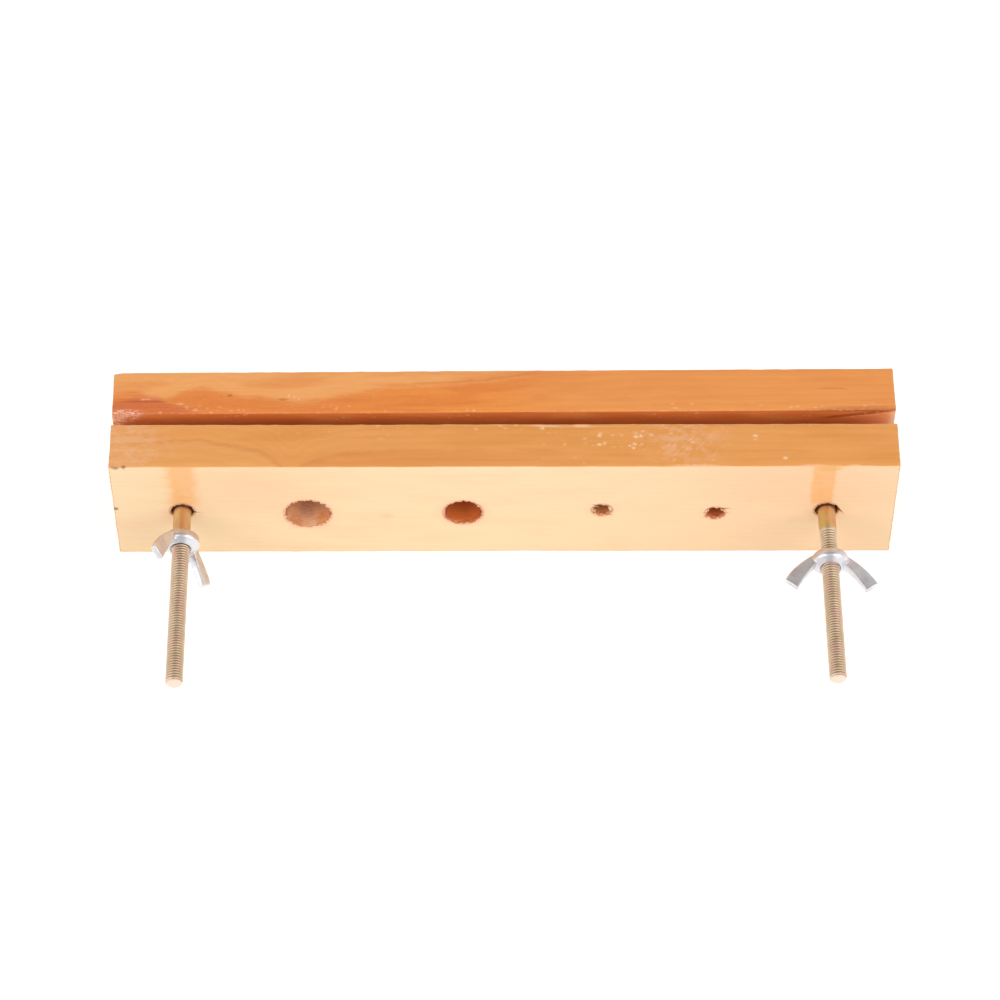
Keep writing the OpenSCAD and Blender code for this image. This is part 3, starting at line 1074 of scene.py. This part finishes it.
def large_hole_patches(bar, colour):
    """Torn patches in the large hole: orange ones low down, a pink one at the right, a mauve streak."""
    paint = bar.paint
    hole, _ = dowel_hole("large")
    for right, deep, up, tone in (
        (4.8, -6.0, -5.8, "#f0944c"), (-4.2, -7.5, -6.4, "#e08c54"), (6.4, -5.5, -1.5, "#e88a74"),
        (-0.8, -1.0, -7.4, "#cfa08c"),
    ):
        spot = paint.spot(bar.loose, (hole.x + right, deep, hole.z + up), (2.6, 3.4, 2.6), 0.9)
        spot = spot * paint.rise(bar.fine, 0.3, 0.55)
        spot = spot * paint.rise(bar.y, -JAW_T / 2 - 0.1, -JAW_T / 2 + 0.4)
        colour = paint.mix(spot * 0.7, colour, tone)
    return colour


def hole_tones():
    """Each hole of the front jaw: x, z, radius, tones of its foot and wall, blush round its mouth. The
    foot's tone holds painted light, and the wall's darker tones hold painted shade.
    """
    for x in (LEFT_X, RIGHT_X):
        yield x, BOLT_Z, BOLT_HOLE_R, "#c98a58", "#a5622f", "#7c4220", 0.15
    for name, light, middle, dark, blush in (
        ("large", "#f8c292", "#e4a684", "#d08550", 0.2),
        ("medium", "#e07a3a", "#c25f3e", "#bb5428", 0.3),
        ("first_small", "#dc8e58", "#b0652f", "#9a5428", 0.2),
        ("second_small", "#d2703f", "#b5532c", "#a04824", 0.22),
    ):
        spot, radius = dowel_hole(name)
        yield spot.x, spot.z, radius, light, middle, dark, blush


def front_marks(bar, colour):
    """Chips, rubs and scuffs on top, darker nicks, and the worn pale arrises."""
    paint = bar.paint
    half, top, end = JAW_T / 2, JAW_H, JAW_LEN / 2
    stroke_turn = (0, 0, math.radians(-50))
    slant = paint.node("ShaderNodeMapping", None, {"Vector": bar.place, "Rotation": stroke_turn})
    strokes = paint.noise(slant, (5.5, 0.9, 1), detail=2.0, roughness=0.6)
    cloud = paint.noise(bar.place, (5, 3, 3), (2, 8, 1), detail=3.0)
    patch = paint.spot(bar.place, (60, 2.5, top), (12, 9, 3), 1.4)
    rub = patch * (paint.rise(strokes, 0.57, 0.66) * 0.55 + paint.rise(cloud, 0.42, 0.62) * 0.5)
    scuff = paint.spot(bar.place, (-125, 1.0, top), (11, 11, 3), 1.4)
    scuff = scuff * paint.rise(cloud + bar.fine, 0.85, 1.15)
    colour = paint.mix(paint.most(rub * 0.6, scuff * 0.27) * bar.top, colour, "#f4c4a6")
    near_back = paint.rise(bar.y, 1.0, 7.5) * paint.rise(abs(bar.x - 12), 110, 60) * 0.8
    some = paint.most(near_back, paint.spot(bar.place, (44, 0, top), (26, 9, 3), 1.2))
    chips = flecks(paint, bar.loose, 2.2, 0.7, 0.3) * paint.rise(bar.fine, 0.38, 0.52) * some
    broken = flecks(paint, bar.loose, 1.6, 0.85, 0.5) * paint.rise(bar.fine, 0.37, 0.47)
    named = broken * bar.spots((
        (-76, 5.0, 1.5, 1.2), (-48, 4.6, 2.0, 0.9), (-41.3, 5.2, 1.4, 2.6), (-30.8, 5.0, 1.0, 1.0),
        (-2.0, 6.7, 3.0, 1.4), (12, 6.5, 6.0, 1.6), (19.1, 1.4, 0.8, 0.7), (34, 2.0, 7.0, 3.0),
        (43, 0.2, 3.0, 2.2), (46, 3.0, 4.0, 2.0), (84.1, 3.2, 1.0, 1.4), (91, 8.0, 1.4, 1.0),
        (93.8, -5.4, 1.2, 1.2)), place=bar.place)
    line = paint.spot(bar.place, (21, half - 1.2, top), (15, 0.5, 1.0), 0.8)
    line = line * paint.rise(bar.hairs, -0.06, 0.06)
    named = paint.most(named, line, bar.spots(((42.1, -0.4, 0.5, 0.4), (93.8, -5.4, 0.4, 0.4))))
    pale = paint.most(chips * 0.6, named * 0.7) * bar.top
    colour = paint.mix(pale, colour, "#fad4ae")
    frayed = paint.noise(bar.place, (3.5, 1, 1), detail=3.0, roughness=0.7)
    fuzz = paint.rise(bar.y, half - 0.75, half - 0.35) * bar.top
    fuzz = fuzz * (paint.rise(frayed, 0.42, 0.6) * 0.6 + 0.25)
    front_edge = paint.most(*[
        paint.spot(bar.loose, (spot_x, -half, top), (wide, 0.8, 0.8), 0.8)
        for spot_x, wide in ((65, 9), (103, 5), (117, 3))])
    colour = paint.mix(paint.most(fuzz, front_edge * 0.6), colour, "#f6bf92")
    # Darker in the nicks at the left end and in the crack below them.
    darkened_marks = bar.spots(((-end + 2.4, -half, 1.8, 0.5), (-end + 5.2, -half + 0.3, 0.9, 0.4)), 0.9)
    crack = paint.spot(bar.loose, (-end + 0.8, -half, 26), (1.0, 1.0, 0.8), 0.8)
    colour = paint.mix(paint.most(darkened_marks, crack) * 0.7, colour, "#7d4420")
    smudge = paint.spot(bar.loose, (109, -half, top - 1.4), (4.5, 1.5, 1.6), 0.9)
    colour = paint.mix(smudge * 0.6, colour, "#e9b066")
    return colour, paint.most(rub, scuff * 0.8)


def torn_fibre():
    """Pale torn wood, for the flakes and slivers at the holes."""
    paint = Paint(bpy.data.materials.new("torn_fibre"))
    hairs = paint.noise(paint.places(), (6, 0.3, 0.3), detail=2.0)
    colour = paint.mix(hairs, "#f3bf9a", "#fadab6")
    return paint.finish(colour, 0.65, hairs * 0.04, MM)


def yellow_zinc_plate():
    """Yellow zinc: gold on the shank, olive and pinkish tan on the thread, with painted shade in its
    grooves.
    """
    paint = Paint(bpy.data.materials.new("yellow_zinc"))
    place = paint.places()
    x, y, z = paint.split(place)
    across = abs(x) - RIGHT_X
    up = z - BOLT_Z
    radius = (across * across + up * up) ** 0.5
    threaded = paint.rise(y, HEAD_SEAT - PLAIN_LEN + 0.3, HEAD_SEAT - PLAIN_LEN - 0.4)
    crest = paint.rise(radius, ROOT_R + 0.05, CREST_R - 0.12)
    tint = paint.noise(place, (4, 7, 4), detail=2.0)
    other = paint.noise(place, (3, 5, 3), (11, 4, 8), detail=2.0)
    grit = paint.noise(place, (0.7, 0.7, 0.7), detail=3.0, roughness=0.6)
    gold = paint.mix(paint.rise(tint, 0.4, 0.62), "#dcc496", "#d8ac8a")
    gold = paint.mix(paint.rise(other, 0.5, 0.64) * 0.8, gold, "#c8bc7c")
    tan = paint.mix(paint.rise(tint, 0.4, 0.6), "#dac5aa", "#dab8a6")
    tan = paint.mix(paint.rise(other, 0.5, 0.62) * 0.8, tan, "#c6b894")
    # Painted shade in the thread's grooves.
    shaded_valley = paint.mix(grit, "#a88c6e", "#c0a68a")
    thread = paint.mix(crest, shaded_valley, tan)
    colour = paint.mix(threaded, gold, thread)
    tip = paint.rise(y, HEAD_SEAT - BOLT_LEN + 1.2, HEAD_SEAT - BOLT_LEN + 0.3)
    colour = paint.mix(tip, colour, "#f2dccc")
    rough = 0.3 + grit * 0.12 + threaded * 0.08 + (1 - crest) * threaded * 0.2
    return paint.finish(colour, rough, grit * 0.012, MM, Metallic=1.0)


def bright_zinc_plate():
    """Bright zinc over a cast skin: soft patches of grey and mauve, darker and duller in fine specks."""
    paint = Paint(bpy.data.materials.new("bright_zinc"))
    place = paint.places()
    broad = paint.noise(place, (5, 5, 5), detail=2.0)
    grit = paint.noise(place, (0.5, 0.5, 0.5), detail=3.0, roughness=0.6)
    colour = paint.mix(paint.rise(broad, 0.35, 0.65), "#dee0e4", "#d3cbd0")
    colour = paint.mix(paint.rise(grit, 0.56, 0.72) * 0.4, colour, "#a29c9e")
    rough = 0.27 + broad * 0.1 + grit * 0.1
    return paint.finish(colour, rough, grit * 0.02, MM, Metallic=1.0)


# The press

pine_rear, pine_front, torn = pine_of_rear_jaw(), pine_of_front_jaw(), torn_fibre()
yellow_zinc, bright_zinc = yellow_zinc_plate(), bright_zinc_plate()

bpy.ops.object.select_all(action="DESELECT")

finish_piece(rear_bar(pine_rear), "rear_bar", "rear_jaw_and_bolts", "rear_jaw")
finish_piece(front_bar(pine_front, torn), "front_bar", "front_jaw", "front_jaw")

bolt = dress(carriage_bolt(), yellow_zinc)
for side, x in (("left", LEFT_X), ("right", RIGHT_X)):
    twin = move_to(copy_of(bolt), outward(x, HEAD_SEAT))
    finish_piece(twin, side + "_carriage_bolt", "rear_jaw_and_bolts", side + "_bolt")
bpy.data.objects.remove(bolt)

for side, seat, turn, bend in (
    ("left", LEFT_SEAT, LEFT_NUT_TURN, LEFT_WING_BEND),
    ("right", RIGHT_SEAT, RIGHT_NUT_TURN, 0.0),
):
    nut = dress(placed_nut(square_wing_nut(bend), seat, turn), bright_zinc)
    finish_piece(nut, side + "_square_wing_nut", side + "_wing_nut", side + "_wing_nut")


# Studio

def floor():
    """A plain pale floor that stays white to the eye and keeps a soft shadow."""
    bpy.ops.mesh.primitive_plane_add(size=6)
    plane = bpy.context.object
    plane.name = "floor"
    paint = Paint(bpy.data.materials.new("pale_floor"))
    matt = paint.node("ShaderNodeBsdfDiffuse", None, {"Color": (0.8, 0.8, 0.8, 1)})
    strength = seen_rays(paint) * FLOOR_GLOW
    glow = paint.node("ShaderNodeEmission", None, {"Color": (1, 1, 1, 1), "Strength": strength})
    both = paint.node("ShaderNodeAddShader", None, {0: matt, 1: glow})
    paint.node("ShaderNodeOutputMaterial", None, {"Surface": both})
    dress(plane, paint.owner)


def seen_rays(paint):
    """1 for what the camera sees, straight, mirrored or through something."""
    rays = ("Is Camera Ray", "Is Glossy Ray", "Is Transmission Ray")
    return paint.most(*[paint.node("ShaderNodeLightPath", out=ray) for ray in rays])


def studio_world(ambient, overhead):
    """White round the horizon and greyer overhead to the eye, and a softer light on the object."""
    world = bpy.data.worlds.new("studio")
    bpy.context.scene.world = world
    sky = Paint(world)
    _, depth, height = sky.split(sky.node("ShaderNodeTexCoord", out="Generated"))
    shown = 1.0 - sky.most(sky.rise(height, 0.6, 0.8), sky.rise(depth, -0.35, -0.8) * 0.8) * (1.0 - overhead)
    seen = seen_rays(sky)
    strength = seen * shown + (1.0 - seen) * ambient
    back = sky.node("ShaderNodeBackground", None, {"Color": (1, 1, 1, 1), "Strength": strength})
    sky.node("ShaderNodeOutputWorld", None, {"Surface": back})


def softbox(name, place, aim, size, power):
    """A square soft lamp at a place, turned to what it lights."""
    lamp = bpy.data.lights.new(name, "AREA")
    lamp.shape = "SQUARE"
    lamp.size = size
    lamp.energy = power
    holder = bpy.data.objects.new(name, lamp)
    bpy.context.scene.collection.objects.link(holder)
    holder.location = place
    holder.rotation_euler = (Vector(aim) - Vector(place)).to_track_quat("-Z", "Y").to_euler()


def camera():
    """The camera at the photograph's place: high in front, far off and with a long lens."""
    lens = 137.66
    elevation = math.radians(54.323)
    azimuth = math.radians(0.429)
    distance = 1.29183
    target = Vector((-0.001529, -0.0315, 0.030446))
    sight = Vector((
        math.sin(azimuth) * math.cos(elevation),
        math.cos(azimuth) * math.cos(elevation),
        -math.sin(elevation)))
    data = bpy.data.cameras.new("photo_camera")
    data.lens = lens
    data.sensor_width = 36
    data.clip_start = 0.01
    holder = bpy.data.objects.new("photo_camera", data)
    bpy.context.scene.collection.objects.link(holder)
    holder.location = target - sight * distance
    holder.rotation_euler = sight.to_track_quat("-Z", "Y").to_euler()
    bpy.context.scene.camera = holder


floor()
studio_world(AMBIENT, OVERHEAD)
softbox("left", (-0.95, -0.8, 1.0), LAMP_AIM, LAMP_SIZE, LAMP_POWER)
softbox("right", (0.95, -0.8, 0.9), LAMP_AIM, LAMP_SIZE, LAMP_POWER)
camera()
bpy.context.scene.view_settings.view_transform = "Standard"
